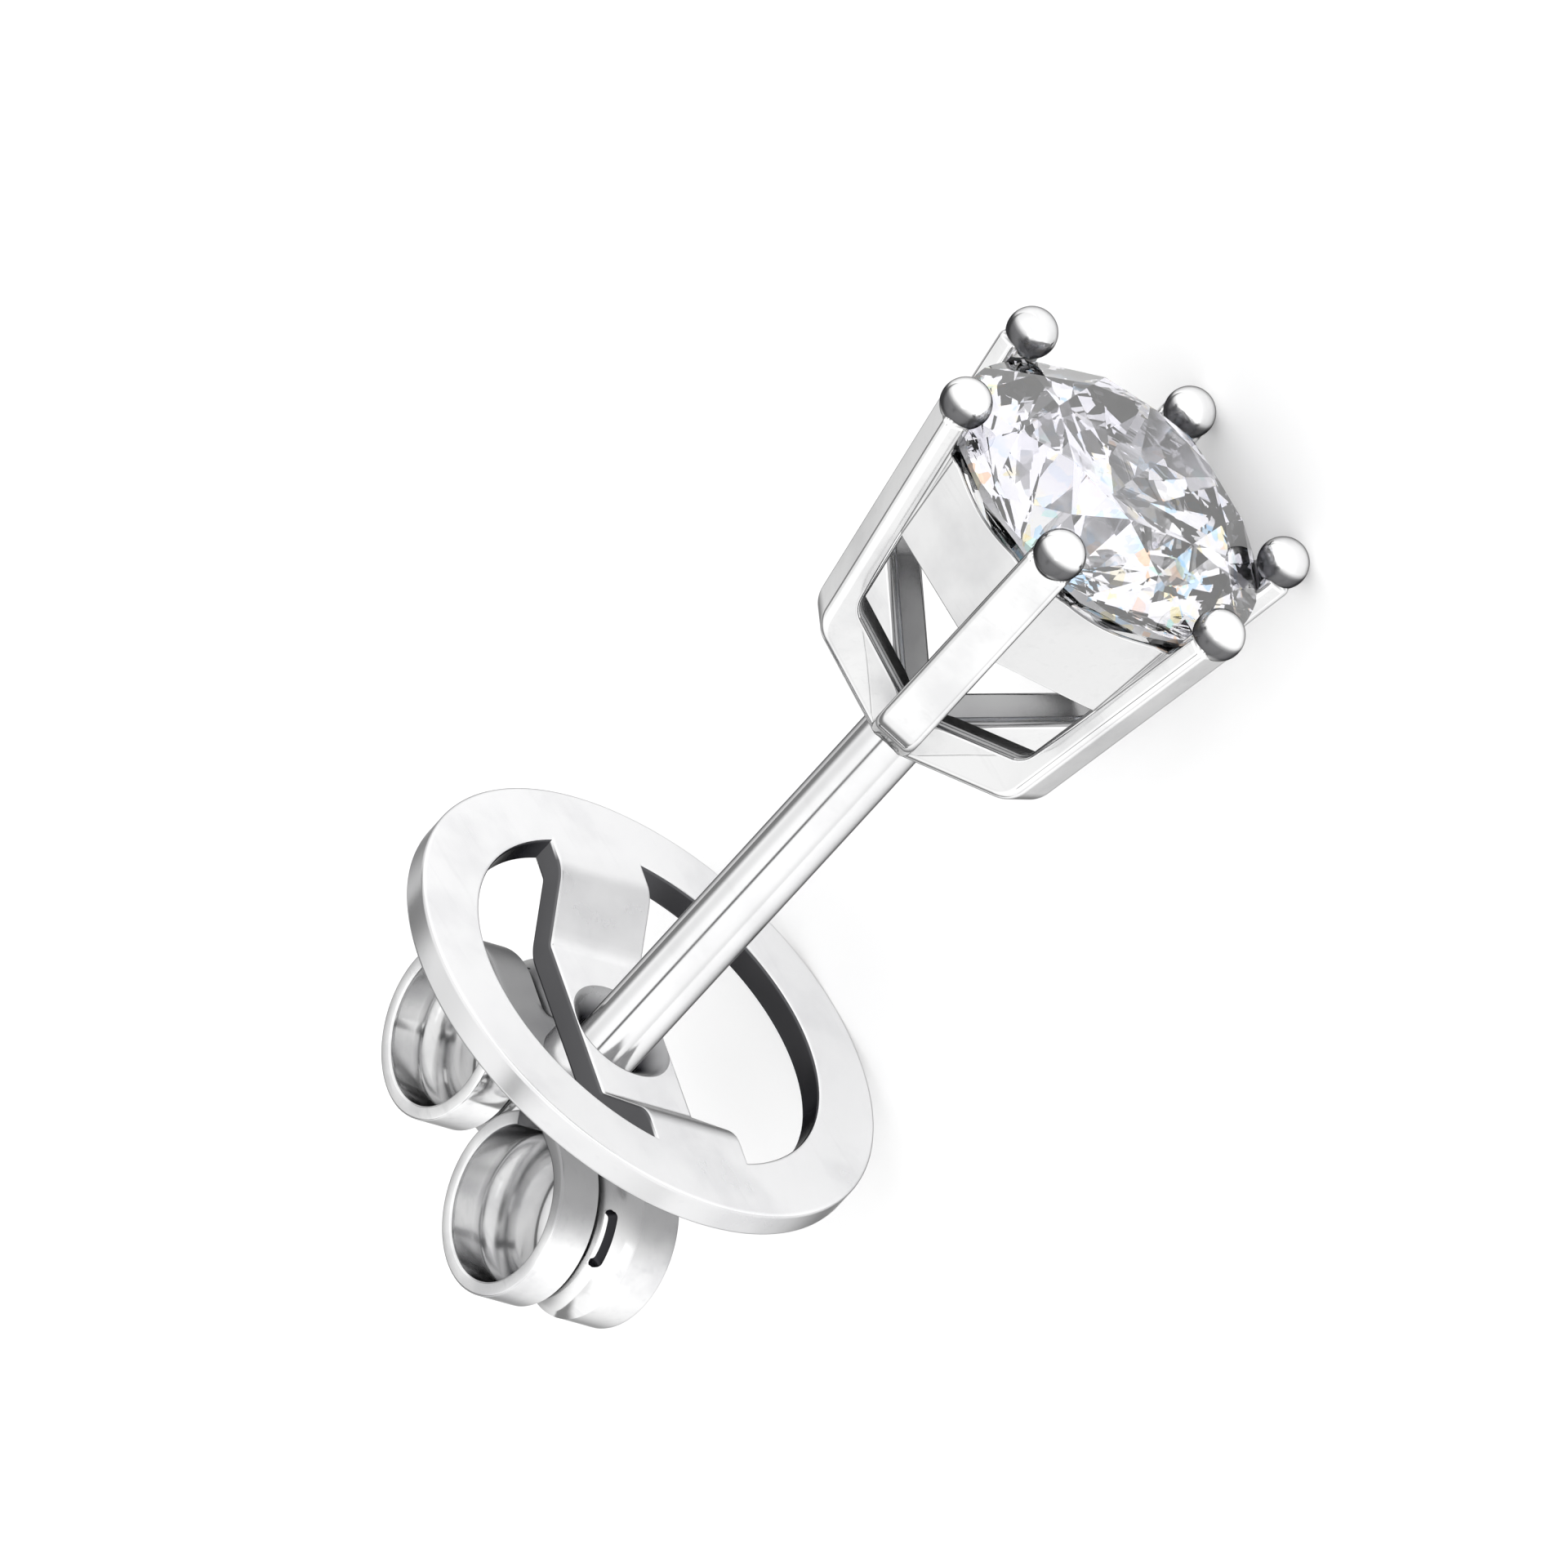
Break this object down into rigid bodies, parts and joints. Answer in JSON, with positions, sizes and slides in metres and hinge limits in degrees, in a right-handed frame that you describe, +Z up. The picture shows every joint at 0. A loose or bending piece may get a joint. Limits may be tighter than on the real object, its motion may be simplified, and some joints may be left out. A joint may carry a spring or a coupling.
{
  "type": "ear stud",
  "caption": "Solitaire ear stud: a round brilliant in ball-tipped claws on a straight post, with a sliding disc ear back whose scrolls grip the post.",
  "frame": {"origin": "on the surface that the stud lies on, under the middle of its length and width", "axes": "+X along the post's line on the ground towards the stone, +Z up from the surface, +Y completes the set"},
  "size_m": [0.0167, 0.008, 0.008],
  "materials": {
    "white_gold": "high polish",
    "diamond": "faceted, polished"
  },
  "bodies": {
    "stud": {"setting": "white_gold", "stone": "diamond"},
    "clutch": {"back_disc": "white_gold", "back_scrolls": "white_gold"}
  },
  "joints": [
    {"name": "back_slide", "type": "slide", "parent": "stud", "child": "clutch", "axis": [-0.9948, 0, 0.1018], "range_m": [-0.0066, 0.0044]}
  ]
}
